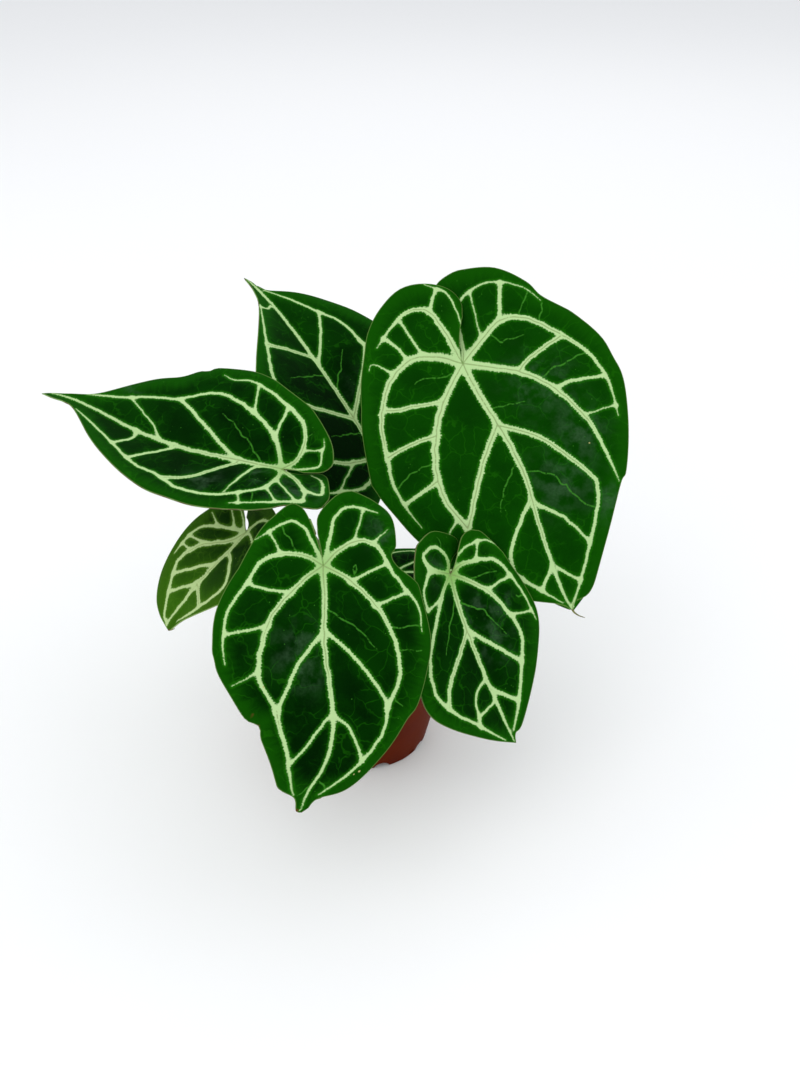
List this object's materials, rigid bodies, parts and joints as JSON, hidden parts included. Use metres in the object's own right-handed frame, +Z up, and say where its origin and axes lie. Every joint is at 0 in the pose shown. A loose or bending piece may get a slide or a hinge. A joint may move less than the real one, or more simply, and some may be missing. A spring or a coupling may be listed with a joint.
{
  "type": "potted anthurium",
  "caption": "Velvet-leaved anthurium in a round nursery pot: broad heart-shaped leaves with pale veins, each on its own stalk from a low crown in potting mix.",
  "frame": {"origin": "centre of the pot's flat base, on the surface it stands on", "axes": "+Z up along the pot's axis; -Y is the side with the front leaf; +X to the right seen from the front"},
  "size_m": [0.3374, 0.299, 0.2976],
  "materials": {
    "pot_plastic": "satin",
    "potting_mix": "matte",
    "crown": "matte",
    "stalk": "satin",
    "leaf": "satin",
    "young_leaf": "satin"
  },
  "bodies": {
    "root": {"pot": "pot_plastic", "potting_mix": "potting_mix", "crown": "crown", "stalk_upper_right": "stalk", "stalk_front": "stalk", "stalk_lower_right": "stalk", "stalk_left": "stalk", "stalk_back": "stalk", "stalk_low_back": "stalk", "stalk_young_left": "stalk", "leaf_upper_right": "leaf", "leaf_front": "leaf", "leaf_lower_right": "leaf", "leaf_left": "leaf", "leaf_back": "leaf", "leaf_low_back": "leaf", "leaf_young_left": "young_leaf"}
  },
  "joints": []
}
